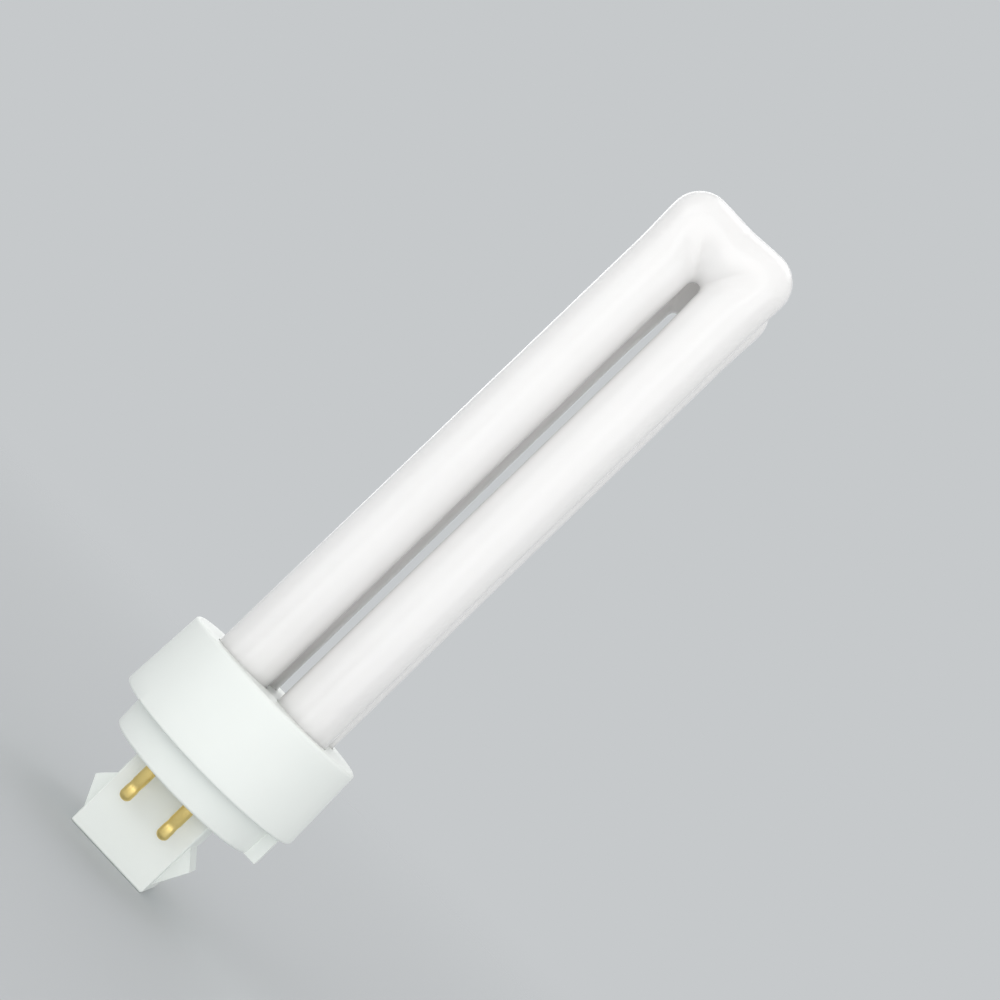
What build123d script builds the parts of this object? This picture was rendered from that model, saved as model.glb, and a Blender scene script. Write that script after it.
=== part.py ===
"""Plug-in compact fluorescent lamp: two square-bent glass tubes side by side in a round
moulded base, with a keyed post and four contact pins.

Millimetres. +Z runs up the lamp's axis from the flat end of the post, which is z = 0, to the
tip of the tubes. The lamp is seen from -Y, with the key rib of the base on +X.
"""
from build123d import *
import os
from math import cos, hypot, pi, radians, sin, sqrt

# Lengths along the axis, from the end of the post to the tip
post_length = 17.4
ring_height = 6.6
collar_height = 17.0
tube_above_collar = 121.7
rear_bend_drop = 3.2

# Glass tubes
leg_diameter = 12.0
leg_gap = 3.1
crotch_drop = 14.3
bend_corner_radius = 6.2
bend_bulge = 0.3
bend_bulge_angle = 30.0
tip_dip = 0.3
bend_lead_in = (0.6, 2.0, 5.0)
bend_steps = 18
bridge_diameter = 6.4
bridge_above_collar = 7.0
leg_in_base = 14.2
leg_end_fillet = 4.0
pinch_press_length = 2.0
pinch_taper_length = 2.4
pinch_width = 12.2
pinch_thickness = 3.0
pinch_edge_flat = 0.1
exhaust_stem_diameter = 3.4
exhaust_stem_length = 3.0
exhaust_stem_tip_flat = 0.3

# Collar, the upper moulding
collar_top_diameter = 40.9
collar_bottom_diameter = 42.1
collar_wall = 1.6
collar_top_plate = 1.8
collar_top_edge_radius = 0.8
collar_bottom_edge_radius = 0.5
leg_hole_clearance = 0.25
sleeve_wall = 1.55
sleeve_length = 6.0
groove_width = 1.8
groove_depth = 0.6

# Pin carrier, the lower moulding
flange_thickness = 2.0
flange_ledge = 1.0
flange_clearance = 0.15
ring_top_diameter = 34.1
ring_bottom_diameter = 33.5
ring_wall = 1.8
ring_floor = 2.0
ring_edge_radius = 0.6
key_rib_reach = 19.2
key_rib_width = 4.0
post_width = 18.75
post_depth = 13.4
post_draft_angle = 0.9
post_wall = 1.6
post_end_wall = 1.8
post_edge_radius = 0.5
latch_root_low = 1.6
latch_apex = 8.3
latch_root_high = 11.9
latch_reach = 12.3
latch_width = 7.0
hook_width = 5.0
hook_thickness = 1.4
hook_clearance = 0.25
hook_catch_height = 4.0

# Contact pins and their bosses
pin_circle_diameter = 24.0
pin_pair_spacing = 9.5
pin_diameter = 2.5
pin_projection = 7.7
pin_shank_diameter = 2.9
pin_head_diameter = 3.8
pin_head_thickness = 0.7
pin_boss_diameter = 4.8
pin_boss_height = 3.0
pin_bore_diameter = 1.2
pin_nose_length = 1.1
crimp_diameter = 2.34
crimp_length = 1.6
crimp_from_nose = 1.4

# Lead-in wires and cement
wire_diameter = 0.6
wire_fit = 0.01
wire_pair_spacing = 5.0
wire_bend_radius = 0.9
wire_end_gap = 0.3
cement_bead_width = 1.3
cement_bead_height = 1.5

# Levels
collar_bottom_z = post_length + ring_height
collar_top_z = collar_bottom_z + collar_height
tip_z = collar_top_z + tube_above_collar
flange_top_z = collar_bottom_z + flange_thickness
plate_bottom_z = collar_top_z - collar_top_plate
sleeve_bottom_z = plate_bottom_z - sleeve_length
leg_end_z = collar_top_z - leg_in_base
pinch_top_z = leg_end_z + pinch_press_length + pinch_taper_length
floor_top_z = post_length + ring_floor
boss_top_z = floor_top_z + pin_boss_height
pin_tip_z = post_length - pin_projection
nose_top_z = pin_tip_z + pin_nose_length
crimp_low_z = nose_top_z + crimp_from_nose

# Radii and places worked out from the sizes
leg_radius = leg_diameter / 2
leg_offset = (leg_diameter + leg_gap) / 2
leg_hole_radius = leg_radius + leg_hole_clearance
collar_top_radius = collar_top_diameter / 2
collar_bottom_radius = collar_bottom_diameter / 2
flange_seat_radius = collar_bottom_radius - collar_wall + flange_ledge / 2
ledge_radius = flange_seat_radius - flange_ledge
pin_offset_x = pin_pair_spacing / 2
pin_offset_y = sqrt((pin_circle_diameter / 2) ** 2 - pin_offset_x ** 2)
pin_radius = pin_diameter / 2

SIDES = {"left": -1, "right": 1}
ROWS = {"front": -1, "rear": 1}


def upright(radius, x, y, low, high):
    """A plain upright cylinder between two levels."""
    return Pos(x, y, low) * Cylinder(radius, high - low, align=(Align.CENTER, Align.CENTER, Align.MIN))


def turned(*points):
    """A solid turned about the lamp's axis from an outline of (radius, level) points."""
    outline = Plane.XZ * make_face(Polyline(*points, close=True))
    return revolve(outline, Axis.Z)


def block(width, depth, low, high, x=0, y=0):
    """A rectangular block between two levels, centred on x and y."""
    return Pos(x, y, low) * Box(width, depth, high - low, align=(Align.CENTER, Align.CENTER, Align.MIN))


# Discharge tube


def bend_outer_reach(angle, height):
    """How far the squared outline of a bend lies from the middle of the arch of its slot.

    The outline is a rectangle a little wider than the pair of legs, with rounded upper corners
    and a slight dip where the tube was pressed together at the middle of its top.
    """
    across, up = abs(cos(radians(angle))), sin(radians(angle))
    swelling = min(1, min(angle, 180 - angle) / bend_bulge_angle)
    half_width = leg_offset + leg_radius + bend_bulge * swelling
    corner_x, corner_z = half_width - bend_corner_radius, height - bend_corner_radius
    if up * half_width <= corner_z * across:
        return half_width / across
    if across * height <= corner_x * up:
        x = height * across / up
        dip = tip_dip * cos(pi / 2 * x / corner_x) ** 2
        return (height - dip) / up
    along = across * corner_x + up * corner_z
    return along + sqrt(along ** 2 - hypot(corner_x, corner_z) ** 2 + bend_corner_radius ** 2)


def bend_section(angle, height, slot_radius):
    """The tube's section in a plane through the arch: round outside, drawn out towards the slot."""
    middle = bend_outer_reach(angle, height) - leg_radius
    outer_half = CenterArc((middle, 0), leg_radius, -90, 180)
    inner_half = EllipticalCenterArc((middle, 0), middle - slot_radius, leg_radius, 90, arc_size=180)
    plane = Plane(
        origin=(0, 0, 0),
        x_dir=(cos(radians(angle)), 0, sin(radians(angle))),
        z_dir=(-sin(radians(angle)), 0, cos(radians(angle))),
    )
    return plane * make_face([outer_half, inner_half])


def leg_section(side, level):
    """The round section of a leg, cut into the same two halves as a section of the bend."""
    circle = [CenterArc((leg_offset, 0), leg_radius, start, 180) for start in (-90, 90)]
    plane = Plane(origin=(0, 0, level), x_dir=(side, 0, 0), z_dir=(0, 0, side))
    return plane * make_face(circle)


def square_bend(tip):
    """The top of one tube, lofted from one leg over to the other.

    The leg's own sections lie closer together towards the arch, which keeps the surface even.
    """
    slot_radius = leg_gap / 2
    height = crotch_drop + slot_radius
    sections = [leg_section(1, -depth) for depth in reversed(bend_lead_in)]
    sections += [bend_section(180 * i / bend_steps, height, slot_radius) for i in range(bend_steps + 1)]
    sections += [leg_section(-1, -depth) for depth in bend_lead_in]
    return Pos(0, 0, tip - height) * loft(sections)


def pinch_seal(x, y):
    """The end of a leg, heated and pressed flat round the two wires of an electrode."""
    press_top = leg_end_z + pinch_press_length
    edge_radius = (pinch_thickness - pinch_edge_flat) / 2
    flat = RectangleRounded(pinch_width, pinch_thickness, edge_radius)
    taper = loft([Pos(x, y, press_top) * flat, Pos(x, y, pinch_top_z) * Circle(leg_radius)])
    return Pos(x, y, leg_end_z) * extrude(flat, pinch_press_length) + taper


def glass_tube(tip):
    """One tube: the bend, a leg down to the pinch seal, and a leg down to the end melted round."""
    bend = square_bend(tip)
    ends = bend.faces().filter_by(Plane.XY).sort_by(Axis.X)
    walls = bend.faces() - ends
    for end, low in zip(ends, (pinch_top_z, leg_end_z)):
        joint_z = end.center().Z
        leg = extrude(end, joint_z - low, dir=(0, 0, -1))
        walls += leg.faces() - leg.faces().filter_by_position(Axis.Z, joint_z, joint_z)
    tube = Solid(Shell(walls))
    return fillet(tube.faces().sort_by(Axis.Z)[0].edges(), leg_end_fillet)


def make_discharge_tube():
    """Both glass tubes, the bridge that joins them, their sealed ends and the exhaust stem."""
    front = Pos(0, ROWS["front"] * leg_offset, 0) * glass_tube(tip_z)
    rear = Pos(0, ROWS["rear"] * leg_offset, 0) * glass_tube(tip_z - rear_bend_drop)
    bridge_z = collar_top_z + bridge_above_collar
    bridge = Pos(leg_offset, 0, bridge_z) * Rot(90, 0, 0) * Cylinder(bridge_diameter / 2, 2 * leg_offset)
    stem_radius = exhaust_stem_diameter / 2
    stem = upright(stem_radius, leg_offset, leg_offset, leg_end_z - exhaust_stem_length, leg_end_z + leg_radius)
    stem = fillet(stem.faces().sort_by(Axis.Z)[0].edges(), stem_radius - exhaust_stem_tip_flat / 2)
    tube = bridge + front + rear + stem
    for row in ROWS.values():
        tube += pinch_seal(-leg_offset, row * leg_offset)
    return tube


# Collar


def make_collar_shell():
    """The round drafted cover, open below, with a sleeve for each leg under its top plate."""
    outside = turned((0, collar_bottom_z), (collar_bottom_radius, collar_bottom_z),
                     (collar_top_radius, collar_top_z), (0, collar_top_z))
    outside = fillet(outside.edges().sort_by(Axis.Z)[-1], collar_top_edge_radius)
    outside = fillet(outside.edges().filter_by(GeomType.CIRCLE).sort_by(Axis.Z)[0], collar_bottom_edge_radius)
    top_inner_radius = collar_top_radius - collar_wall
    inside = turned((0, collar_bottom_z), (flange_seat_radius, collar_bottom_z),
                    (flange_seat_radius, flange_top_z), (ledge_radius, flange_top_z),
                    (top_inner_radius, plate_bottom_z), (0, plate_bottom_z))
    shell = outside - inside
    for x in (-leg_offset, leg_offset):
        for y in (-leg_offset, leg_offset):
            shell += upright(leg_hole_radius + sleeve_wall, x, y, sleeve_bottom_z, plate_bottom_z)
    for x in (-leg_offset, leg_offset):
        for y in (-leg_offset, leg_offset):
            shell -= upright(leg_hole_radius, x, y, sleeve_bottom_z, collar_top_z)
    groove_top = hook_barb_z() + groove_width
    groove = upright(ledge_radius + groove_depth, 0, 0, hook_barb_z(), groove_top)
    groove -= upright(ledge_radius - groove_depth, 0, 0, hook_barb_z(), groove_top)
    return shell - groove


# Pin carrier


def hook_barb_z():
    """The level of the underside of the snap groove, which the hooks' barbs catch."""
    return flange_top_z + hook_catch_height


def snap_hook():
    """One upright snap hook on the flange, on the +X side, with its barb in the collar's groove."""
    outer = ledge_radius - hook_clearance
    barb = outer + groove_depth
    low, catch, top = flange_top_z, hook_barb_z() + hook_clearance, hook_barb_z() + groove_width - hook_clearance
    outline = Polyline((outer - hook_thickness, low), (outer, low), (outer, catch), (barb, catch),
                       (outer, top), (outer - hook_thickness, top), close=True)
    return extrude(Plane.XZ * make_face(outline), hook_width / 2, both=True)


def keyed_post():
    """The hollow rectangular post, drafted to its end, with a latch on each narrow side."""
    top = Plane.XY.offset(floor_top_z) * RectangleRounded(post_width, post_depth, post_edge_radius)
    post = extrude(top, -floor_top_z, taper=post_draft_angle)
    post = fillet(post.faces().sort_by(Axis.Z)[0].edges(), post_edge_radius)
    root = post_width / 2 - post_wall
    outline = [(root, latch_root_low), (post_width / 2 - post_edge_radius, latch_root_low),
               (latch_reach, latch_apex), (post_width / 2 - post_edge_radius, latch_root_high),
               (root, latch_root_high)]
    for side in SIDES.values():
        profile = Plane.XZ * make_face(Polyline(*[(side * x, z) for x, z in outline], close=True))
        post += extrude(profile, latch_width / 2, both=True)
    return post


def post_core():
    """The room inside the post, open to the room inside the ring."""
    top = Plane.XY.offset(floor_top_z) * Rectangle(post_width - 2 * post_wall, post_depth - 2 * post_wall)
    return extrude(top, post_end_wall - floor_top_z, taper=post_draft_angle)


def make_pin_carrier():
    """Flange, ring, key rib and keyed post in one hollow moulding, with a boss for each pin."""
    top, bottom = ring_top_diameter / 2, ring_bottom_diameter / 2
    outer = turned((0, post_length), (bottom, post_length), (top, collar_bottom_z), (0, collar_bottom_z))
    outer = fillet(outer.edges().filter_by(GeomType.CIRCLE).sort_by(Axis.Z)[0], ring_edge_radius)
    flange = upright(flange_seat_radius - flange_clearance, 0, 0, collar_bottom_z, flange_top_z)
    rib = block(key_rib_reach, key_rib_width, post_length, collar_bottom_z, key_rib_reach / 2)
    carrier = outer + flange + rib + keyed_post()
    carrier -= upright(bottom - ring_wall, 0, 0, floor_top_z, flange_top_z)
    carrier -= post_core()
    for row in ROWS.values():
        for side in SIDES.values():
            x, y = side * pin_offset_x, row * pin_offset_y
            carrier += upright(pin_boss_diameter / 2, x, y, floor_top_z, boss_top_z)
            carrier -= upright(pin_shank_diameter / 2, x, y, post_length, boss_top_z)
    for turn in range(0, 360, 90):
        carrier += Rot(0, 0, turn) * snap_hook()
    return carrier


# Contact pins


def make_contact_pin(x, y):
    """A pin bored down to its crimp: head on its boss, shouldered shank, crimp and solid nose."""
    crimp_middle = crimp_low_z + crimp_length / 2
    crimp_top = crimp_low_z + crimp_length
    head_top = boss_top_z + pin_head_thickness
    bore, grip = pin_bore_diameter / 2, wire_diameter / 2 + wire_fit
    nose = EllipticalCenterArc((0, nose_top_z), pin_radius, pin_nose_length, -90, arc_size=90)
    crimp = ThreePointArc((pin_radius, crimp_low_z), (crimp_diameter / 2, crimp_middle), (pin_radius, crimp_top))
    body = [
        nose,
        Line((pin_radius, nose_top_z), (pin_radius, crimp_low_z)),
        crimp,
        Polyline((pin_radius, crimp_top), (pin_radius, post_length),
                 (pin_shank_diameter / 2, post_length), (pin_shank_diameter / 2, boss_top_z),
                 (pin_head_diameter / 2, boss_top_z), (pin_head_diameter / 2, head_top),
                 (bore, head_top), (bore, crimp_top), (grip, crimp_middle),
                 (bore, crimp_low_z), (0, crimp_low_z), (0, pin_tip_z)),
    ]
    return Pos(x, y, 0) * revolve(Plane.XZ * make_face(body), Axis.Z)


# Lead-in wires


def make_lead_wire(row, side):
    """A wire from a pinch seal down the bore of its pin, through the crimp."""
    start_x = -leg_offset + side * wire_pair_spacing / 2
    start_y = row * leg_offset
    end_x, end_y = side * pin_offset_x, row * pin_offset_y
    head_top = boss_top_z + pin_head_thickness
    cross_z = (leg_end_z + head_top) / 2
    tail_z = crimp_low_z + wire_end_gap
    path = FilletPolyline((start_x, start_y, leg_end_z), (start_x, start_y, cross_z),
                          (end_x, end_y, cross_z), (end_x, end_y, tail_z), radius=wire_bend_radius)
    section = Plane(origin=path @ 0, z_dir=path % 0) * Circle(wire_diameter / 2)
    return sweep(section, path=path)


# Cement


def make_cement_beads():
    """A bead of cement round each leg below its sleeve, drawn up into the gap inside the sleeve."""
    bead_low = sleeve_bottom_z - cement_bead_height
    beads = []
    for x in (-leg_offset, leg_offset):
        for y in (-leg_offset, leg_offset):
            bead = upright(leg_radius + cement_bead_width, x, y, bead_low, sleeve_bottom_z)
            bead += upright(leg_hole_radius, x, y, sleeve_bottom_z, plate_bottom_z)
            beads.append(bead - upright(leg_radius, x, y, bead_low, plate_bottom_z))
    return Compound(children=beads)


nodes = {
    "discharge_tube": make_discharge_tube(),
    "collar_shell": make_collar_shell(),
    "pin_carrier": make_pin_carrier(),
    "cement_beads": make_cement_beads(),
}
for row_name, row_sign in ROWS.items():
    for side_name, side_sign in SIDES.items():
        pin_x, pin_y = side_sign * pin_offset_x, row_sign * pin_offset_y
        nodes[f"contact_pin_{row_name}_{side_name}"] = make_contact_pin(pin_x, pin_y)
        nodes[f"lead_wire_{row_name}_{side_name}"] = make_lead_wire(row_sign, side_sign)

os.makedirs("parts", exist_ok=True)
for name, solid in nodes.items():
    export_step(solid, f"parts/{name}.step")
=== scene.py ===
"""The looks of a plug-in compact fluorescent lamp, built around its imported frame.

Sizes are in metres. +Z runs up the lamp's axis, and the flat end of the post stands at the origin.
"""
from math import cos, pi, radians, sin

import bmesh
import bpy
from bpy.props import FloatProperty, FloatVectorProperty, PointerProperty
from mathutils import Matrix, Quaternion, Vector


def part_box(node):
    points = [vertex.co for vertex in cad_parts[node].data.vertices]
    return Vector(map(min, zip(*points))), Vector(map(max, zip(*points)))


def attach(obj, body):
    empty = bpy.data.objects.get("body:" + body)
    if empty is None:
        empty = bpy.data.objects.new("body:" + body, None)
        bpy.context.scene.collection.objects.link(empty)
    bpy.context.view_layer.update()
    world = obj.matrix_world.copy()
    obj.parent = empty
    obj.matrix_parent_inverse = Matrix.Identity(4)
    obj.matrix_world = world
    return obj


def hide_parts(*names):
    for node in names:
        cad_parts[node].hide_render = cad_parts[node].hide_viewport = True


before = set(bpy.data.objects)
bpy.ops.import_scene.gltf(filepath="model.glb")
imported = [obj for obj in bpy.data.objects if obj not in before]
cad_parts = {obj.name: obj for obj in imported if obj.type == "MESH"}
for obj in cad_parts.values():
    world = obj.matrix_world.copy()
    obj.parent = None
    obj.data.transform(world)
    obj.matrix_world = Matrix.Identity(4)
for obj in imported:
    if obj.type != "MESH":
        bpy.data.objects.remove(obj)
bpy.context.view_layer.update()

bl_info = {
    "name": "Plug-in compact fluorescent lamp",
    "version": (1, 0, 0),
    "blender": (4, 5, 0),
    "location": "View3D > Sidebar > Lamp",
    "description": "Builds the glass tubes, moulded base and contact pins of a plug-in lamp, and its stage",
    "category": "Object",
}

MM = 0.001
WELD = 0.001 * MM  # points nearer to each other than this are merged

# Kinds of node that come up often. The values of a range are the number, the low and high ends that
# it runs between, and what it becomes at each of them.
MATH = "ShaderNodeMath"
RANGE = "ShaderNodeMapRange"
NOISE = "ShaderNodeTexNoise"

# Places taken from the frame
TUBE_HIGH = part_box("discharge_tube")[1]
COLLAR_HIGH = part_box("collar_shell")[1]
PIN_LOW, PIN_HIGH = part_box("contact_pin_front_right")
PIN_CENTRE = (PIN_LOW + PIN_HIGH) / 2

# Spacing of the pins in millimetres. The lamp's axis is half way between them.
PAIR_SPACING = PIN_CENTRE.x * 2 / MM
ROW_SPACING = -PIN_CENTRE.y * 2 / MM


def linear(code):
    """An sRGB hex colour as the linear values that Blender works with."""
    shares = [int(code[i:i + 2], 16) / 255 for i in (1, 3, 5)]
    return [s / 12.92 if s <= 0.04045 else ((s + 0.055) / 1.055) ** 2.4 for s in shares]


def length(name, description, value):
    """Keywords of a property that holds a size, with its default in millimetres."""
    return dict(name=name, description=description, default=value * MM, min=0, precision=4,
                subtype="DISTANCE", unit="LENGTH")


def tint(name, description, code):
    """Keywords of a property that holds a colour."""
    return dict(name=name, description=description, default=linear(code), min=0, max=1, size=3,
                subtype="COLOR")


class LampGlassSettings(bpy.types.PropertyGroup):
    """Sizes and colours of the glass tubes."""
    leg_diameter: FloatProperty(**length("Leg diameter", "Outside diameter of each glass leg", 12.0))
    slot_depth: FloatProperty(**length("Slot depth", "From a bend's tip down to the end of its slot", 14.3))
    corner_radius: FloatProperty(**length("Corner radius", "Outside radius of a bend's corners", 6.2))
    swelling: FloatProperty(**length("Swelling", "How far a bend is blown out past its legs", 0.3))
    tip_dip: FloatProperty(**length("Tip dip", "Depth of the dip at the middle of a bend's top", 0.3))
    rear_drop: FloatProperty(**length("Rear drop", "How far the rear bend ends below the front one", 3.2))
    crease_depth: FloatProperty(**length("Crease depth", "Depth of the folds above the slot", 0.22))
    narrowing: FloatProperty(**length("Narrowing", "How far each leg closes in on the slot's end", 0.3))
    bridge_diameter: FloatProperty(**length("Bridge diameter", "Diameter of the bridge of glass", 6.4))
    bridge_height: FloatProperty(**length("Bridge height", "Middle of the bridge above the collar", 7.0))
    coating: FloatVectorProperty(**tint("Coating", "Phosphor powder seen through the glass", "#EEEDEC"))
    coating_end: FloatVectorProperty(**tint("Coating at the ends", "Powder near the collar", "#E9E8E7"))


class LampBaseSettings(bpy.types.PropertyGroup):
    """Colour and grain of the moulded base."""
    plastic: FloatVectorProperty(**tint("Plastic", "Colour of the moulded base", "#F6FAF6"))
    grain: FloatProperty(**length("Grain", "Spacing of the grain that the mould leaves", 0.6))


class LampPinSettings(bpy.types.PropertyGroup):
    """Spacing and colour of the contact pins."""
    pair_spacing: FloatProperty(**length("Pair spacing", "Between the pins of a row", PAIR_SPACING))
    row_spacing: FloatProperty(**length("Row spacing", "Between the two rows", ROW_SPACING))
    brass: FloatVectorProperty(**tint("Brass", "Colour of the bare brass", "#EFD78C"))


class LampStageSettings(bpy.types.PropertyGroup):
    """Camera, floor and key light."""
    floor: FloatVectorProperty(**tint("Floor", "Colour of the plain floor", "#C6C9CB"))
    lens: FloatProperty(name="Lens", description="Focal length of the camera, on a 36 mm sensor",
                        default=68.3, min=10, unit="CAMERA")
    lean: FloatProperty(name="Lean", description="Angle of the lamp above the picture's horizontal",
                        default=radians(44.0), subtype="ANGLE")
    key_power: FloatProperty(name="Key light", description="Power of the large soft light on the left",
                             default=2.8, min=0, unit="POWER")


# Helpers for node trees and meshes


def add_node(tree, kind, *values, inputs=None, **settings):
    """Adds a node with its settings and input values: a node or a socket given as a value is linked."""
    made = tree.nodes.new(kind)
    for name, value in settings.items():
        setattr(made, name, value)
    for key, value in [*enumerate(values), *(inputs or {}).items()]:
        if isinstance(value, bpy.types.Node):
            tree.links.new(value.outputs[0], made.inputs[key])
        elif isinstance(value, bpy.types.NodeSocket):
            tree.links.new(value, made.inputs[key])
        elif value is not None:
            made.inputs[key].default_value = value
    return made


def new_geometry_tree(name, sockets):
    """An empty geometry tree and the sockets of its inputs, which are given as {name: (kind, default)}."""
    tree = bpy.data.node_groups.new(name, "GeometryNodeTree")
    tree.interface.new_socket("Geometry", in_out="OUTPUT", socket_type="NodeSocketGeometry")
    for socket_name, (kind, default) in sockets.items():
        socket = tree.interface.new_socket(socket_name, in_out="INPUT", socket_type="NodeSocket" + kind)
        if default is not None:
            socket.default_value = default
    return tree, add_node(tree, "NodeGroupInput").outputs


def evaluated_mesh(holder):
    """An object's mesh with its modifiers applied."""
    return bpy.data.meshes.new_from_object(holder.evaluated_get(bpy.context.evaluated_depsgraph_get()))


def grown(tree, name, **values):
    """The plain mesh that a geometry tree makes, with its inputs set by name."""
    holder = bpy.data.objects.new(name, bpy.data.meshes.new(name))
    bpy.context.scene.collection.objects.link(holder)
    modifier = holder.modifiers.new(name, "NODES")
    modifier.node_group = tree
    for socket in tree.interface.items_tree:
        key = socket.name.lower().replace(" ", "_")
        if socket.in_out == "INPUT" and key in values:
            modifier[socket.identifier] = values[key]
    mesh = evaluated_mesh(holder)
    holder.modifiers.clear()
    bpy.data.objects.remove(holder)
    if not mesh.polygons:
        raise RuntimeError(f"the geometry tree {tree.name} made no faces")
    return mesh


def skinned(rings, name):
    """A mesh through rings of as many points each, with the last ring closed by one face."""
    count = len(rings[0])
    faces = []
    for low in range(0, (len(rings) - 1) * count, count):
        for k in range(count):
            after = (k + 1) % count
            faces.append([low + k, low + after, low + count + after, low + count + k])
    last = (len(rings) - 1) * count
    faces.append([last + k for k in range(count)])
    mesh = bpy.data.meshes.new(name)
    mesh.from_pydata([point for ring in rings for point in ring], [], faces)
    return mesh


def welded(meshes, name, sharp_angle):
    """One mesh from several, with doubled points merged, faces outwards and curved faces smooth."""
    form = bmesh.new()
    for mesh in meshes:
        form.from_mesh(mesh)
    bmesh.ops.remove_doubles(form, verts=form.verts, dist=WELD)
    bmesh.ops.recalc_face_normals(form, faces=form.faces)
    mesh = bpy.data.meshes.new(name)
    form.to_mesh(mesh)
    form.free()
    mesh.shade_smooth()
    mesh.set_sharp_from_angle(angle=sharp_angle)
    return mesh


def placed(mesh, name, material, slot, *nodes):
    """Makes a finished piece: it sits at the origin, rides on the lamp and stands for its CAD nodes."""
    piece = bpy.data.objects.new(name, mesh)
    bpy.context.scene.collection.objects.link(piece)
    mesh.materials.clear()
    mesh.materials.append(material)
    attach(piece, "root")
    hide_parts(*nodes)


# Materials

TARNISH_TINT = (0.82, 0.78, 0.66)  # what tarnish leaves of the brass's red, green and blue
FLOW_SHADE = 0.965  # what is left of the plastic's colour in the darker swirls of its flow


def new_surface(name):
    """A material with an empty tree, and the Object coordinates that its patterns read."""
    material = bpy.data.materials.new(name)
    material.use_nodes = True
    tree = material.node_tree
    tree.nodes.clear()
    return material, tree, add_node(tree, "ShaderNodeTexCoord").outputs["Object"]


def draw_lines(tree, place, width, run):
    """Noise drawn out along the lamp's axis, as the lines that drawing leaves in glass and in metal.

    The real lines are too fine to show, so these are drawn coarser.
    """
    stretched = add_node(tree, "ShaderNodeMapping", place,
                         inputs={"Scale": (1 / width, 1 / width, 1 / run)})
    return add_node(tree, NOISE, stretched, inputs={"Scale": 1.0, "Detail": 2.0}).outputs[0]


def coated_glass(settings):
    """Soda-lime glass drawn into tube, with phosphor powder inside.

    The powder gives a matt white that lets some light through, so shadows on it are soft. It lies in
    faint clouds, and its colour turns a little greyer towards the collar. The bare glass over it adds a
    hard gloss.
    """
    grey_length = 26 * MM
    cloud_size = 9 * MM
    line_width = 1.5 * MM
    line_run = 60 * MM
    line_depth = 0.02 * MM
    light_spread = 8 * MM
    material, tree, place = new_surface("Drawn soda-lime glass, phosphor coated")
    height = add_node(tree, "ShaderNodeSeparateXYZ", place).outputs["Z"]
    ends = add_node(tree, RANGE, height, COLLAR_HIGH.z, COLLAR_HIGH.z + grey_length, 1.0, 0.0,
                    interpolation_type="SMOOTHSTEP")
    cloud = add_node(tree, NOISE, place, inputs={"Scale": 1 / cloud_size, "Detail": 3.0})
    cloudy = add_node(tree, RANGE, cloud, 0.35, 0.65, -0.12, 0.12)
    share = add_node(tree, MATH, ends, cloudy, operation="ADD", use_clamp=True)
    colour = add_node(tree, "ShaderNodeMix", share, data_type="RGBA",
                      inputs={"A": (*settings.coating, 1), "B": (*settings.coating_end, 1)})
    lines = draw_lines(tree, place, line_width, line_run)
    bump = add_node(tree, "ShaderNodeBump",
                    inputs={"Height": lines, "Strength": 0.15, "Distance": line_depth})
    shader = add_node(tree, "ShaderNodeBsdfPrincipled", inputs={
        "Base Color": colour.outputs["Result"], "Roughness": 0.1, "IOR": 1.52, "Normal": bump,
        "Subsurface Weight": 0.85, "Subsurface Radius": (1.0, 1.0, 1.0), "Subsurface Scale": light_spread})
    add_node(tree, "ShaderNodeOutputMaterial", shader)
    return material


def moulded_polyester(settings):
    """Injection-moulded thermoplastic polyester: a satin white, with faint swirls where it flowed.

    The mould leaves a grain that is too fine to show, so it is drawn coarser.
    """
    swirl_size = 12 * MM
    grain_depth = 0.03 * MM
    material, tree, place = new_surface("Injection-moulded thermoplastic polyester")
    flow = add_node(tree, NOISE, place, inputs={"Scale": 1 / swirl_size, "Detail": 2.0})
    darker = tuple(c * FLOW_SHADE for c in settings.plastic)
    colour = add_node(tree, "ShaderNodeMix", flow, data_type="RGBA",
                      inputs={"A": (*settings.plastic, 1), "B": (*darker, 1)})
    grain = add_node(tree, NOISE, place, inputs={"Scale": 1 / settings.grain, "Detail": 4.0})
    rough = add_node(tree, RANGE, grain, 0.3, 0.7, 0.36, 0.46)
    bump = add_node(tree, "ShaderNodeBump",
                    inputs={"Height": grain.outputs[0], "Strength": 0.35, "Distance": grain_depth})
    shader = add_node(tree, "ShaderNodeBsdfPrincipled", inputs={
        "Base Color": colour.outputs["Result"], "Roughness": rough.outputs[0], "IOR": 1.57, "Normal": bump})
    add_node(tree, "ShaderNodeOutputMaterial", shader)
    return material


def drawn_brass(settings):
    """Brass drawn and left bare: bright along the pin, with fine draw lines and a little tarnish."""
    tarnish_size = 1.8 * MM
    line_width = 0.2 * MM
    line_run = 6 * MM
    line_depth = 0.01 * MM
    material, tree, place = new_surface("Drawn brass, bare")
    tarnish = add_node(tree, NOISE, place, inputs={"Scale": 1 / tarnish_size, "Detail": 3.0})
    share = add_node(tree, RANGE, tarnish, 0.4, 0.75, 0.0, 0.45)
    dull = tuple(c * s for c, s in zip(settings.brass, TARNISH_TINT))
    colour = add_node(tree, "ShaderNodeMix", share, data_type="RGBA",
                      inputs={"A": (*settings.brass, 1), "B": (*dull, 1)})
    lines = draw_lines(tree, place, line_width, line_run)
    bump = add_node(tree, "ShaderNodeBump",
                    inputs={"Height": lines, "Strength": 0.4, "Distance": line_depth})
    shader = add_node(tree, "ShaderNodeBsdfPrincipled", inputs={
        "Base Color": colour.outputs["Result"], "Metallic": 1.0, "Roughness": 0.32, "Normal": bump})
    add_node(tree, "ShaderNodeOutputMaterial", shader)
    return material


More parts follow.
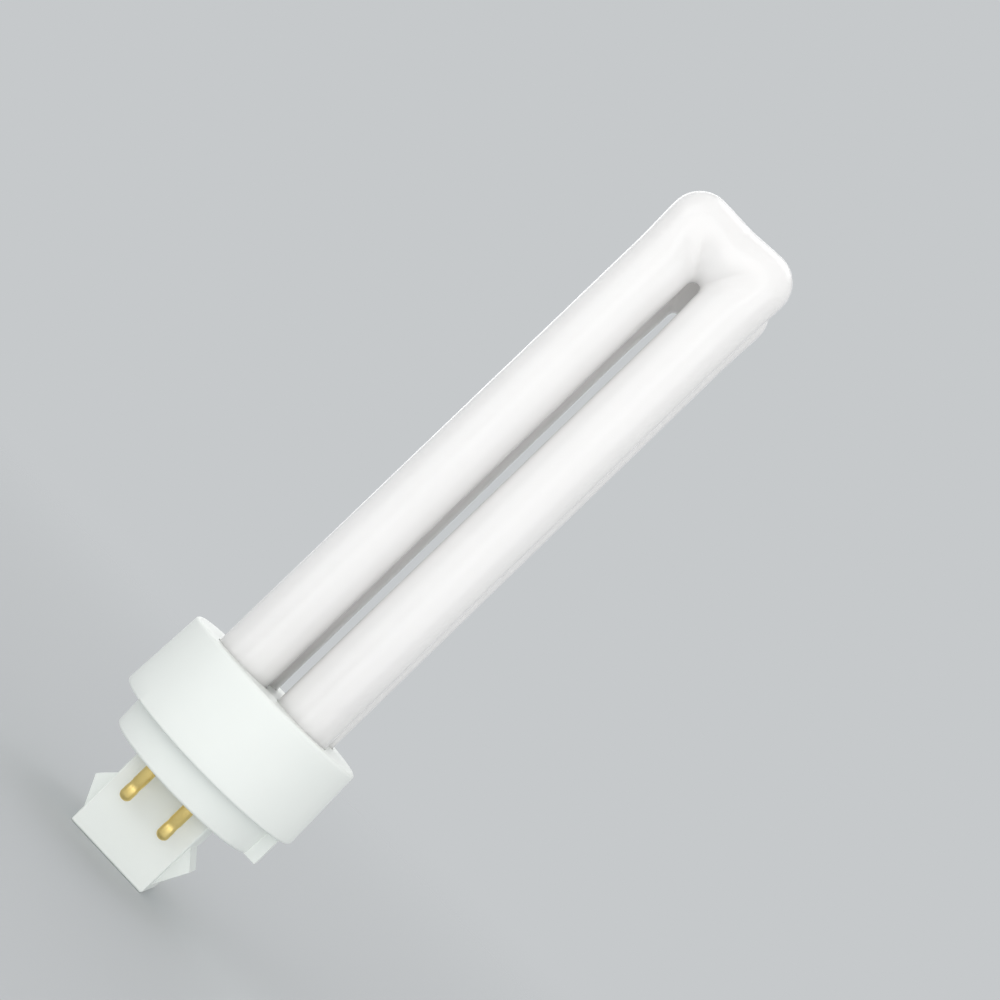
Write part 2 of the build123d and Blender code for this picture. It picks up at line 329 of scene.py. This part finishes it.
def nickel_wire():
    """Nickel-plated wire, drawn: a grey metal with a soft, slightly uneven shine."""
    speck_size = 0.5 * MM
    material, tree, place = new_surface("Drawn wire, nickel plated")
    speck = add_node(tree, NOISE, place, inputs={"Scale": 1 / speck_size, "Detail": 2.0})
    rough = add_node(tree, RANGE, speck, 0.3, 0.7, 0.25, 0.4)
    shader = add_node(tree, "ShaderNodeBsdfPrincipled", inputs={
        "Base Color": (*linear("#C9C4BC"), 1), "Metallic": 1.0, "Roughness": rough.outputs[0]})
    add_node(tree, "ShaderNodeOutputMaterial", shader)
    return material


def basing_cement():
    """Basing cement, filled with marble flour and baked: a dry, chalky off-white with fine pores.

    The pores are drawn coarser than the real ones, so that they show close up.
    """
    pore_size = 0.4 * MM
    pore_depth = 0.05 * MM
    material, tree, place = new_surface("Baked basing cement")
    pores = add_node(tree, NOISE, place, inputs={"Scale": 1 / pore_size, "Detail": 5.0})
    colour = add_node(tree, "ShaderNodeMix", pores, data_type="RGBA",
                      inputs={"A": (*linear("#D8D2C2"), 1), "B": (*linear("#C4BDAB"), 1)})
    bump = add_node(tree, "ShaderNodeBump",
                    inputs={"Height": pores.outputs[0], "Strength": 0.6, "Distance": pore_depth})
    shader = add_node(tree, "ShaderNodeBsdfPrincipled", inputs={
        "Base Color": colour.outputs["Result"], "Roughness": 0.9, "Normal": bump})
    add_node(tree, "ShaderNodeOutputMaterial", shader)
    return material


# Glass tubes

LEG_STEPS = 96  # faces round a leg
BEND_STEPS = 176  # faces along a bend
FILLET_STEPS = 10  # rings in a rounded end
GLASS_EDGE = radians(40)  # a sharper turn of the glass than this shows as an edge

SWELLING_TURN = radians(36)  # part of the turn at each end of a bend in which it swells out
NARROW_LENGTH = 12.0 * MM  # stretch of the legs, below the slot's arch, in which the slot narrows
NARROW_STEPS = 8
FOLD_SLOPE = 0.6  # how far a fold spreads for each step up
FOLD_START = 0.5 * MM  # from the middle of the bend, at the height of the arch's middle
FOLD_WIDTH = 1.0 * MM  # on each side of the fold's line
FOLD_RISE = 8.0 * MM  # height at which a fold has faded out
TIP_FOLD_LENGTH = 5.0 * MM
TIP_FOLD_DEPTH = 0.12 * MM

LEG_IN_BASE = 14.2 * MM  # from the collar's top down to the end of a leg
PLAIN_LENGTH = 0.5 * MM  # a short straight ring that keeps the shading of the long legs straight
END_FILLET = 4.0 * MM
PRESS_LENGTH = 2.0 * MM
PRESS_TAPER = 2.4 * MM
PRESS_WIDTH = 12.2 * MM
PRESS_THICKNESS = 3.0 * MM
STEM_RADIUS = 1.7 * MM
STEM_LENGTH = 3.0 * MM
STEM_TIP_FLAT = 0.15 * MM

BRIDGE_STEPS = 12  # rings from the middle of the bridge to each end
BRIDGE_SIDES = 64
BRIDGE_FLARE = 0.9 * MM  # how far it flares at its ends, which lie inside the legs


def bend_outline(tree, sizes, turn, up, across):
    """How far the outline of a bend lies from the middle of its slot's arch, along a section's ray.

    The outline is a rectangle with rounded upper corners. Its sides swell out a little past the legs,
    and its top dips in the middle. The ray meets a side, the top or the arc of a corner.
    """
    to_end = add_node(tree, MATH, pi, turn, operation="SUBTRACT")
    from_end = add_node(tree, MATH, turn, to_end, operation="MINIMUM")
    swelling = add_node(tree, RANGE, from_end, 0.0, SWELLING_TURN, 0.0, sizes["Swelling"],
                        interpolation_type="SMOOTHSTEP")
    half_width = add_node(tree, MATH, sizes["Half width"], swelling, operation="ADD")
    corner_x = add_node(tree, MATH, half_width, sizes["Corner radius"], operation="SUBTRACT")
    corner_z = add_node(tree, MATH, sizes["Height"], sizes["Corner radius"], operation="SUBTRACT")

    to_side = add_node(tree, MATH, half_width, across, operation="DIVIDE")
    side_rise = add_node(tree, MATH, up, half_width, operation="MULTIPLY")
    side_z = add_node(tree, MATH, side_rise, across, operation="DIVIDE")

    top_run = add_node(tree, MATH, sizes["Height"], across, operation="MULTIPLY")
    top_x = add_node(tree, MATH, top_run, up, operation="DIVIDE")
    top_share = add_node(tree, MATH, top_x, corner_x, operation="DIVIDE")
    dip_turn = add_node(tree, MATH, top_share, pi / 2, operation="MULTIPLY")
    dip_cos = add_node(tree, MATH, dip_turn, operation="COSINE")
    dip_share = add_node(tree, MATH, dip_cos, 2.0, operation="POWER")
    dip = add_node(tree, MATH, dip_share, sizes["Tip dip"], operation="MULTIPLY")
    top_z = add_node(tree, MATH, sizes["Height"], dip, operation="SUBTRACT")
    to_top = add_node(tree, MATH, top_z, up, operation="DIVIDE")

    # The ray passes beside the middle of a corner's circle, and leaves the circle half a chord further on
    corner_run = add_node(tree, MATH, across, corner_x, operation="MULTIPLY")
    along = add_node(tree, MATH, up, corner_z, corner_run, operation="MULTIPLY_ADD")
    corner_left = add_node(tree, MATH, across, corner_z, operation="MULTIPLY")
    corner_right = add_node(tree, MATH, up, corner_x, operation="MULTIPLY")
    beside = add_node(tree, MATH, corner_left, corner_right, operation="SUBTRACT")
    beside_square = add_node(tree, MATH, beside, 2.0, operation="POWER")
    radius_square = add_node(tree, MATH, sizes["Corner radius"], 2.0, operation="POWER")
    chord_square = add_node(tree, MATH, radius_square, beside_square, operation="SUBTRACT")
    half_chord = add_node(tree, MATH, chord_square, operation="SQRT")
    to_corner = add_node(tree, MATH, along, half_chord, operation="ADD")

    on_side = add_node(tree, MATH, side_z, corner_z, operation="LESS_THAN")
    on_top = add_node(tree, MATH, top_x, corner_x, operation="LESS_THAN")
    upper = add_node(tree, "GeometryNodeSwitch", input_type="FLOAT",
                     inputs={"Switch": on_top, "False": to_corner, "True": to_top})
    return add_node(tree, "GeometryNodeSwitch", input_type="FLOAT",
                    inputs={"Switch": on_side, "False": upper, "True": to_side})


def fold_depth(tree, sizes, x, z):
    """Depth of the folds: two rise from the slot's end and spread like a V, and one comes down the tip."""
    from_middle = add_node(tree, MATH, x, operation="ABSOLUTE")
    fold_x = add_node(tree, MATH, z, FOLD_SLOPE, FOLD_START, operation="MULTIPLY_ADD")
    beside_fold = add_node(tree, MATH, from_middle, fold_x, operation="SUBTRACT")
    from_fold = add_node(tree, MATH, beside_fold, operation="ABSOLUTE")
    fold = add_node(tree, RANGE, from_fold, 0.0, FOLD_WIDTH, sizes["Crease depth"], 0.0,
                    interpolation_type="SMOOTHSTEP")
    for fade in ((0.0, FOLD_RISE / 4, 0.0, 1.0), (FOLD_RISE / 2, FOLD_RISE, 1.0, 0.0)):
        share = add_node(tree, RANGE, z, *fade, interpolation_type="SMOOTHSTEP")
        fold = add_node(tree, MATH, fold, share, operation="MULTIPLY")
    tip_fold = add_node(tree, RANGE, from_middle, 0.0, FOLD_WIDTH, TIP_FOLD_DEPTH, 0.0,
                        interpolation_type="SMOOTHSTEP")
    from_tip = add_node(tree, MATH, sizes["Height"], z, operation="SUBTRACT")
    share = add_node(tree, RANGE, from_tip, TIP_FOLD_LENGTH / 2, TIP_FOLD_LENGTH, 1.0, 0.0,
                     interpolation_type="SMOOTHSTEP")
    tip_fold = add_node(tree, MATH, tip_fold, share, operation="MULTIPLY")
    return add_node(tree, MATH, fold, tip_fold, operation="ADD")


def with_legs(tree, sizes, bend):
    """A bend with a straight leg drawn down from each of its two open ends."""
    neighbours = add_node(tree, "GeometryNodeInputMeshEdgeNeighbors")
    on_rim = add_node(tree, MATH, neighbours, 1.0, 0.5, operation="COMPARE")
    spot = add_node(tree, "ShaderNodeSeparateXYZ", add_node(tree, "GeometryNodeInputPosition"))
    at_left = add_node(tree, MATH, spot, 0.0, operation="LESS_THAN")
    leg = add_node(tree, "GeometryNodeSwitch", input_type="FLOAT",
                   inputs={"Switch": at_left, "False": sizes["Right leg"], "True": sizes["Left leg"]})
    rest = add_node(tree, MATH, leg, NARROW_LENGTH, operation="SUBTRACT")
    down = add_node(tree, "ShaderNodeCombineXYZ", 0.0, 0.0, -1.0)
    for drop in [NARROW_LENGTH / NARROW_STEPS] * NARROW_STEPS + [rest]:
        bend = add_node(tree, "GeometryNodeExtrudeMesh", bend, mode="EDGES",
                        inputs={"Selection": on_rim, "Offset": down, "Offset Scale": drop})
        on_rim = bend.outputs["Top"]
    return bend


def with_narrow_slot(tree, sizes, tube):
    """A tube whose legs come nearer to each other towards the end of the slot."""
    spot = add_node(tree, "ShaderNodeSeparateXYZ", add_node(tree, "GeometryNodeInputPosition"))
    from_middle = add_node(tree, MATH, spot.outputs["X"], operation="ABSOLUTE")

    # The move is full at the slot's wall, and fades to the lamp's axis, the middle of a leg and downwards
    leg_middle = add_node(tree, MATH, sizes["Slot radius"], sizes["Leg radius"], operation="ADD")
    share = add_node(tree, RANGE, from_middle, 0.0, sizes["Slot radius"])
    for fade in ((from_middle, sizes["Slot radius"], leg_middle, 1.0, 0.0),
                 (spot.outputs["Z"], -NARROW_LENGTH, 0.0, 0.0, 1.0)):
        factor = add_node(tree, RANGE, *fade, interpolation_type="SMOOTHSTEP")
        share = add_node(tree, MATH, share, factor, operation="MULTIPLY")
    side = add_node(tree, MATH, spot.outputs["X"], operation="SIGN")
    inwards = add_node(tree, MATH, side, -1.0, operation="MULTIPLY")
    amount = add_node(tree, MATH, share, sizes["Narrowing"], operation="MULTIPLY")
    shift = add_node(tree, MATH, amount, inwards, operation="MULTIPLY")
    return add_node(tree, "GeometryNodeSetPosition", tube,
                    inputs={"Offset": add_node(tree, "ShaderNodeCombineXYZ", shift)})


def bend_tree():
    """The square bend of a tube, about the middle of its slot's arch, with a straight leg under each end.

    A grid is rolled up into the bend: one way across it turns about the arch, the other runs round a
    section. Each section is half a circle on the outside and half an ellipse towards the slot.
    """
    tree, sizes = new_geometry_tree("Square bend", {
        "Leg radius": ("Float", 6 * MM), "Half width": ("Float", 13.55 * MM),
        "Height": ("Float", 15.85 * MM), "Slot radius": ("Float", 1.55 * MM),
        "Corner radius": ("Float", 6.2 * MM), "Swelling": ("Float", 0.3 * MM),
        "Tip dip": ("Float", 0.3 * MM), "Crease depth": ("Float", 0.22 * MM),
        "Narrowing": ("Float", 0.3 * MM), "Left leg": ("Float", 100 * MM), "Right leg": ("Float", 100 * MM),
        "Bend steps": ("Int", BEND_STEPS), "Leg steps": ("Int", LEG_STEPS), "Glass": ("Material", None),
    })
    grid = add_node(tree, "GeometryNodeMeshGrid", 1.0, 1.0,
                    add_node(tree, MATH, sizes["Bend steps"], 1.0, operation="ADD"),
                    add_node(tree, MATH, sizes["Leg steps"], 1.0, operation="ADD"))
    on_grid = add_node(tree, "ShaderNodeSeparateXYZ", add_node(tree, "GeometryNodeInputPosition"))
    turn = add_node(tree, MATH, on_grid.outputs["X"], pi, pi / 2, operation="MULTIPLY_ADD")
    around = add_node(tree, MATH, on_grid.outputs["Y"], 2 * pi, operation="MULTIPLY")
    turn_cos = add_node(tree, MATH, turn, operation="COSINE")
    up = add_node(tree, MATH, turn, operation="SINE")
    across = add_node(tree, MATH, turn_cos, operation="ABSOLUTE")

    # The half of a section towards the slot is drawn out to it
    reach = bend_outline(tree, sizes, turn, up, across)
    middle = add_node(tree, MATH, reach, sizes["Leg radius"], operation="SUBTRACT")
    around_cos = add_node(tree, MATH, around, operation="COSINE")
    towards_slot = add_node(tree, MATH, around_cos, 0.0, operation="LESS_THAN")
    to_slot = add_node(tree, MATH, middle, sizes["Slot radius"], operation="SUBTRACT")
    spread = add_node(tree, "GeometryNodeSwitch", input_type="FLOAT",
                      inputs={"Switch": towards_slot, "False": sizes["Leg radius"], "True": to_slot})
    out = add_node(tree, MATH, around_cos, spread, middle, operation="MULTIPLY_ADD")
    x = add_node(tree, MATH, out, turn_cos, operation="MULTIPLY")
    z = add_node(tree, MATH, out, up, operation="MULTIPLY")
    depth = add_node(tree, MATH, sizes["Leg radius"], fold_depth(tree, sizes, x, z), operation="SUBTRACT")
    around_sin = add_node(tree, MATH, around, operation="SINE")
    y = add_node(tree, MATH, around_sin, depth, operation="MULTIPLY")

    bend = add_node(tree, "GeometryNodeSetPosition", grid,
                    inputs={"Position": add_node(tree, "ShaderNodeCombineXYZ", x, y, z)})
    bend = add_node(tree, "GeometryNodeMergeByDistance", bend, inputs={"Distance": WELD})
    tube = with_narrow_slot(tree, sizes, with_legs(tree, sizes, bend))
    tube = add_node(tree, "GeometryNodeRealizeInstances", tube)
    tube = add_node(tree, "GeometryNodeSetMaterial", tube, inputs={"Material": sizes["Glass"]})
    add_node(tree, "NodeGroupOutput", tube)
    return tree


def round_ring(side, offset, radius, level):
    """A ring round the middle of a leg, in step with the rings of the bend."""
    turns = [2 * pi * k / LEG_STEPS for k in range(LEG_STEPS)]
    return [(side * (offset + radius * cos(t)), radius * sin(t), level) for t in turns]


def pressed_ring(side, offset, level):
    """A ring of the pinch seal: two flat faces joined by round edges."""
    edge = PRESS_THICKNESS / 2
    flat = PRESS_WIDTH / 2 - edge
    ring = []
    for k in range(LEG_STEPS):
        t = 2 * pi * (k + 0.5) / LEG_STEPS
        edge_x = flat if cos(t) > 0 else -flat
        ring.append((side * (offset + edge_x + edge * cos(t)), edge * sin(t), level))
    return ring


def rounded_end(side, offset, end_radius, fillet, low):
    """Rings that turn from a straight wall into a flat end."""
    turns = [pi / 2 * i / FILLET_STEPS for i in range(FILLET_STEPS + 1)]
    return [round_ring(side, offset, end_radius + fillet * cos(t), low + fillet - fillet * sin(t))
            for t in turns]


def pinch_seal(offset, radius, end):
    """The lower end of a left leg, pressed flat round the wires of an electrode."""
    press_top = end + PRESS_LENGTH
    taper_top = press_top + PRESS_TAPER
    rings = [round_ring(-1, offset, radius, taper_top + PLAIN_LENGTH),
             round_ring(-1, offset, radius, taper_top),
             pressed_ring(-1, offset, press_top),
             pressed_ring(-1, offset, end)]
    return skinned(rings, "pinch_seal")


def melted_end(offset, radius, end, with_stem):
    """The lower end of a right leg, melted shut. One of the two has the stub of the exhaust stem."""
    rings = [round_ring(1, offset, radius, end + END_FILLET + PLAIN_LENGTH)]
    rings += rounded_end(1, offset, radius - END_FILLET, END_FILLET, end)
    if with_stem:
        rings.append(round_ring(1, offset, STEM_RADIUS, end))
        rings += rounded_end(1, offset, STEM_TIP_FLAT, STEM_RADIUS - STEM_TIP_FLAT, end - STEM_LENGTH)
    return skinned(rings, "melted_end")


def build_glass(settings, material):
    """Both tubes with their ends, the bridge between them and the exhaust stem, in one mesh."""
    radius = settings.leg_diameter / 2
    half_width = TUBE_HIGH.y
    offset = half_width - radius
    slot_radius = offset - radius
    height = settings.slot_depth + slot_radius
    end = COLLAR_HIGH.z - LEG_IN_BASE
    tree = bend_tree()
    meshes = []
    for row, tip in ((-1, TUBE_HIGH.z), (1, TUBE_HIGH.z - settings.rear_drop)):
        arch = tip - height
        bend = grown(tree, "square_bend", leg_radius=radius, half_width=half_width, height=height,
                     slot_radius=slot_radius, corner_radius=settings.corner_radius,
                     swelling=settings.swelling, tip_dip=settings.tip_dip,
                     crease_depth=settings.crease_depth, narrowing=settings.narrowing,
                     left_leg=arch - end - PRESS_LENGTH - PRESS_TAPER - PLAIN_LENGTH,
                     right_leg=arch - end - END_FILLET - PLAIN_LENGTH, glass=material)
        bend.transform(Matrix.Translation((0, row * offset, arch)))
        seal = pinch_seal(offset, radius, end)
        melted = melted_end(offset, radius, end, with_stem=row == 1)
        for mesh in (seal, melted):
            mesh.transform(Matrix.Translation((0, row * offset, 0)))
        meshes += [bend, seal, melted]
    tubes = welded(meshes, "glass_tubes", GLASS_EDGE)
    return joined_by_bridge(tubes, settings, offset)


def joined_by_bridge(tubes, settings, offset):
    """The tubes united with the short glass bridge between their right legs, which flares out to them.

    Its ends lie half way from the lamp's axis to the middles of the legs.
    """
    radius = settings.bridge_diameter / 2
    turns = [2 * pi * k / BRIDGE_SIDES for k in range(BRIDGE_SIDES)]
    rings = []
    for i in range(2 * BRIDGE_STEPS + 1):
        share = i / BRIDGE_STEPS - 1
        wide = radius + BRIDGE_FLARE * share ** 4
        rings.append([(wide * cos(t), share * offset / 2, wide * sin(t)) for t in turns])
    bridge = welded([skinned(rings, "bridge"), skinned([rings[0]], "bridge_cap")], "bridge", GLASS_EDGE)
    bridge.transform(Matrix.Translation((offset, 0, COLLAR_HIGH.z + settings.bridge_height)))
    holders = []
    for mesh in (tubes, bridge):
        holder = bpy.data.objects.new(mesh.name, mesh)
        bpy.context.scene.collection.objects.link(holder)
        holders.append(holder)
    union = holders[0].modifiers.new("bridge", "BOOLEAN")
    union.operation = "UNION"
    union.solver = "EXACT"
    union.object = holders[1]
    made = evaluated_mesh(holders[0])
    for holder in holders:
        bpy.data.objects.remove(holder)
    return welded([made], "glass_tubes", GLASS_EDGE)


class LAMP_OT_glass_tubes(bpy.types.Operator):
    """Build the two square-bent glass tubes, their sealed ends and the bridge that joins them"""
    bl_idname = "lamp.glass_tubes"
    bl_label = "Glass tubes"

    def execute(self, context):
        settings = context.scene.lamp_glass
        material = coated_glass(settings)
        mesh = build_glass(settings, material)
        placed(mesh, "glass_tubes", material, "tube_glass", "discharge_tube")
        return {"FINISHED"}


# Base

BASE_EDGE = radians(28)  # a sharper turn of a moulding or a pin than this shows as an edge


def clean_copy(node):
    """A CAD piece's mesh with its loose triangles joined and its round faces smooth."""
    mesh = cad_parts[node].data.copy()
    if "custom_normal" in mesh.attributes:
        mesh.attributes.remove(mesh.attributes["custom_normal"])
    return welded([mesh], node, BASE_EDGE)


class LAMP_OT_base(bpy.types.Operator):
    """Finish the collar and the pin carrier of the moulded base"""
    bl_idname = "lamp.base"
    bl_label = "Moulded base"

    def execute(self, context):
        material = moulded_polyester(context.scene.lamp_base)
        for node, name in (("collar_shell", "collar"), ("pin_carrier", "carrier")):
            placed(clean_copy(node), name, material, "base_plastic", node)
        return {"FINISHED"}


class LAMP_OT_inner_parts(bpy.types.Operator):
    """Give the lead-in wires and the cement inside the base their finish"""
    bl_idname = "lamp.inner_parts"
    bl_label = "Wires and cement"

    def execute(self, context):
        finishes = {"lead_wire": nickel_wire(), "cement": basing_cement()}
        for name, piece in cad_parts.items():
            for start, material in finishes.items():
                if name.startswith(start):
                    piece.data.materials.clear()
                    piece.data.materials.append(material)
        return {"FINISHED"}


# Contact pins


def pins_tree():
    """The same pin at each corner of a rectangle."""
    tree, inputs = new_geometry_tree("Pins in two pairs", {
        "Pin": ("Object", None), "Pair spacing": ("Float", 9.5 * MM), "Row spacing": ("Float", 22 * MM),
        "Brass": ("Material", None),
    })
    corners = add_node(tree, "GeometryNodeMeshGrid", inputs["Pair spacing"], inputs["Row spacing"], 2, 2)
    pin = add_node(tree, "GeometryNodeObjectInfo", inputs["Pin"]).outputs["Geometry"]
    pins = add_node(tree, "GeometryNodeInstanceOnPoints", corners, inputs={"Instance": pin})
    pins = add_node(tree, "GeometryNodeRealizeInstances", pins)
    pins = add_node(tree, "GeometryNodeSetMaterial", pins, inputs={"Material": inputs["Brass"]})
    add_node(tree, "NodeGroupOutput", pins)
    return tree


class LAMP_OT_contact_pins(bpy.types.Operator):
    """Set the four brass contact pins in their places"""
    bl_idname = "lamp.contact_pins"
    bl_label = "Contact pins"

    def execute(self, context):
        settings = context.scene.lamp_pins
        material = drawn_brass(settings)
        mesh = clean_copy("contact_pin_front_right")
        mesh.transform(Matrix.Translation((-PIN_CENTRE.x, -PIN_CENTRE.y, 0)))
        pattern = bpy.data.objects.new("pin_pattern", mesh)
        context.scene.collection.objects.link(pattern)
        pins = grown(pins_tree(), "contact_pins", pin=pattern, pair_spacing=settings.pair_spacing,
                     row_spacing=settings.row_spacing, brass=material)
        bpy.data.objects.remove(pattern)
        nodes = [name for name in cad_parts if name.startswith("contact_pin")]
        placed(pins, "contact_pins", material, "pin_brass", *nodes)
        return {"FINISHED"}


# Stage

CAMERA_PLACE = Vector((36.0, -348.0, 64.8)) * MM
CAMERA_AIM = Vector((2.6, 0.0, 95.2)) * MM
NEAR_LIMIT = 10 * MM
FLOOR_RADIUS = 2.0
FLOOR_SIDES = 64
FLOOR_GAP = 0.02 * MM  # between the floor and the flat end of the post
FLOOR_FADE = (0.12, 0.7)  # distances at which the floor begins to fade, and at which it has gone
WHITE = (1.0, 1.0, 1.0, 1.0)
ROOM_LIGHT = 0.63  # strength of the even light from all round
LIGHT_MIDDLE = (0.5, 0.5, 0.0)  # places on a light run from 0 to 1 along its sides
MIDDLE_GLOW = 2.3  # brightness of a light's middle, which makes up for its dark edges
GLOW_FADE = (0.22, 0.5)  # how far from its middle a light starts to fade, and is dark
KEY_LIGHT = ((-0.6, -0.75, 0.3), (1.4, 1.4))  # place and size, in metres
OTHER_LIGHTS = {  # place, size and power in watts
    "front": ((0.1, -0.92, 0.15), (0.7, 1.2), 1.75),
    "fill": ((0.7, -0.65, 0.1), (1.2, 1.2), 2.4),
    "top": ((0.1, 0.3, 0.9), (0.9, 0.9), 1.4),
    "back": ((-0.3, 0.8, 0.4), (1.0, 1.0), 1.4),
}


def add_light(name, place, size, power):
    """A soft light that points at the lamp and fades to its edges, as a lamp in a soft box does."""
    light = bpy.data.lights.new(name, "AREA")
    light.shape = "RECTANGLE"
    light.size, light.size_y = size
    light.energy = power
    light.use_nodes = True
    tree = light.node_tree
    tree.nodes.clear()
    spot = add_node(tree, "ShaderNodeNewGeometry").outputs["Parametric"]
    from_middle = add_node(tree, "ShaderNodeVectorMath", spot, LIGHT_MIDDLE, operation="DISTANCE")
    glow = add_node(tree, RANGE, from_middle.outputs["Value"], *GLOW_FADE, MIDDLE_GLOW, 0.0,
                    interpolation_type="SMOOTHSTEP")
    add_node(tree, "ShaderNodeOutputLight", add_node(tree, "ShaderNodeEmission", WHITE, glow))
    holder = bpy.data.objects.new(name, light)
    holder.location = place
    holder.rotation_euler = (CAMERA_AIM - Vector(place)).to_track_quat("-Z", "Y").to_euler()
    bpy.context.scene.collection.objects.link(holder)


def painted_floor(colour):
    """Matt floor paint, rolled on a smooth board: a plain pale surface that only takes the soft shadow.

    It fades into the background at a distance, so that no horizon shows.
    """
    material, tree, place = new_surface("Matt floor paint, rolled")
    distance = add_node(tree, "ShaderNodeVectorMath", place, operation="LENGTH").outputs["Value"]
    near = add_node(tree, RANGE, distance, *FLOOR_FADE, 1.0, 0.0, interpolation_type="SMOOTHSTEP")
    paint = add_node(tree, "ShaderNodeBsdfDiffuse", (*colour, 1))
    clear = add_node(tree, "ShaderNodeBsdfTransparent")
    shader = add_node(tree, "ShaderNodeMixShader", near, clear, paint)
    add_node(tree, "ShaderNodeOutputMaterial", shader)
    return material


def set_floor(colour):
    """A large round floor just under the post."""
    form = bmesh.new()
    bmesh.ops.create_circle(form, cap_ends=True, radius=FLOOR_RADIUS, segments=FLOOR_SIDES)
    mesh = bpy.data.meshes.new("floor")
    form.to_mesh(mesh)
    form.free()
    mesh.materials.append(painted_floor(colour))
    floor = bpy.data.objects.new("floor", mesh)
    floor.location.z = -FLOOR_GAP
    bpy.context.scene.collection.objects.link(floor)


def set_background(colour):
    """The world: a plain pale colour to the eye and in reflections, and an even light on the lamp."""
    world = bpy.data.worlds.new("Studio")
    bpy.context.scene.world = world
    world.use_nodes = True
    tree = world.node_tree
    tree.nodes.clear()
    path = add_node(tree, "ShaderNodeLightPath").outputs
    seen = add_node(tree, MATH, path["Is Camera Ray"], path["Is Glossy Ray"], operation="MAXIMUM")
    seen = add_node(tree, MATH, seen, path["Is Transmission Ray"], operation="MAXIMUM")
    light = add_node(tree, "ShaderNodeBackground", WHITE, ROOM_LIGHT)
    shown = add_node(tree, "ShaderNodeBackground", (*colour, 1), 1.0)
    add_node(tree, "ShaderNodeOutputWorld", add_node(tree, "ShaderNodeMixShader", seen, light, shown))


def set_camera(settings):
    """The photograph's view: close to the lamp, level with the lower legs, and turned so that it leans."""
    camera = bpy.data.cameras.new("camera")
    camera.lens = settings.lens
    camera.clip_start = NEAR_LIMIT
    holder = bpy.data.objects.new("camera", camera)
    holder.location = CAMERA_PLACE
    level = (CAMERA_AIM - CAMERA_PLACE).to_track_quat("-Z", "Y")
    holder.rotation_euler = (level @ Quaternion((0, 0, 1), pi / 2 - settings.lean)).to_euler()
    bpy.context.scene.collection.objects.link(holder)
    bpy.context.scene.camera = holder


class LAMP_OT_stage(bpy.types.Operator):
    """Set up the floor, the background, the soft lights and the camera"""
    bl_idname = "lamp.stage"
    bl_label = "Stage"

    def execute(self, context):
        settings = context.scene.lamp_stage
        set_floor(settings.floor)
        set_background(settings.floor)
        add_light("key", *KEY_LIGHT, settings.key_power)
        for name, light in OTHER_LIGHTS.items():
            add_light(name, *light)
        set_camera(settings)
        context.scene.view_settings.view_transform = "Standard"
        return {"FINISHED"}


class LAMP_PT_panel(bpy.types.Panel):
    """The lamp's settings and the steps that build it"""
    bl_idname = "LAMP_PT_panel"
    bl_label = "Plug-in lamp"
    bl_space_type = "VIEW_3D"
    bl_region_type = "UI"
    bl_category = "Lamp"

    def draw(self, context):
        for group, settings, operators in STEPS:
            box = self.layout.box()
            for name in settings.__annotations__:
                box.prop(getattr(context.scene, group), name)
            for operator in operators:
                box.operator(operator.bl_idname)


# Each group of settings, with its name on the scene and the operators that stand under it in the panel
STEPS = (
    ("lamp_glass", LampGlassSettings, (LAMP_OT_glass_tubes,)),
    ("lamp_base", LampBaseSettings, (LAMP_OT_base, LAMP_OT_inner_parts)),
    ("lamp_pins", LampPinSettings, (LAMP_OT_contact_pins,)),
    ("lamp_stage", LampStageSettings, (LAMP_OT_stage,)),
)


def register():
    """Registers the classes and gives the scene its groups of settings."""
    for group, settings, operators in STEPS:
        for cls in (settings, *operators):
            bpy.utils.register_class(cls)
        setattr(bpy.types.Scene, group, PointerProperty(type=settings))
    bpy.utils.register_class(LAMP_PT_panel)


def unregister():
    """Takes the settings and the classes away again."""
    bpy.utils.unregister_class(LAMP_PT_panel)
    for group, settings, operators in reversed(STEPS):
        delattr(bpy.types.Scene, group)
        for cls in (*operators, settings):
            bpy.utils.unregister_class(cls)


def main():
    """Builds the lamp and its stage."""
    register()
    bpy.ops.lamp.glass_tubes()
    bpy.ops.lamp.base()
    bpy.ops.lamp.inner_parts()
    bpy.ops.lamp.contact_pins()
    bpy.ops.lamp.stage()


if __name__ == "__main__":
    main()
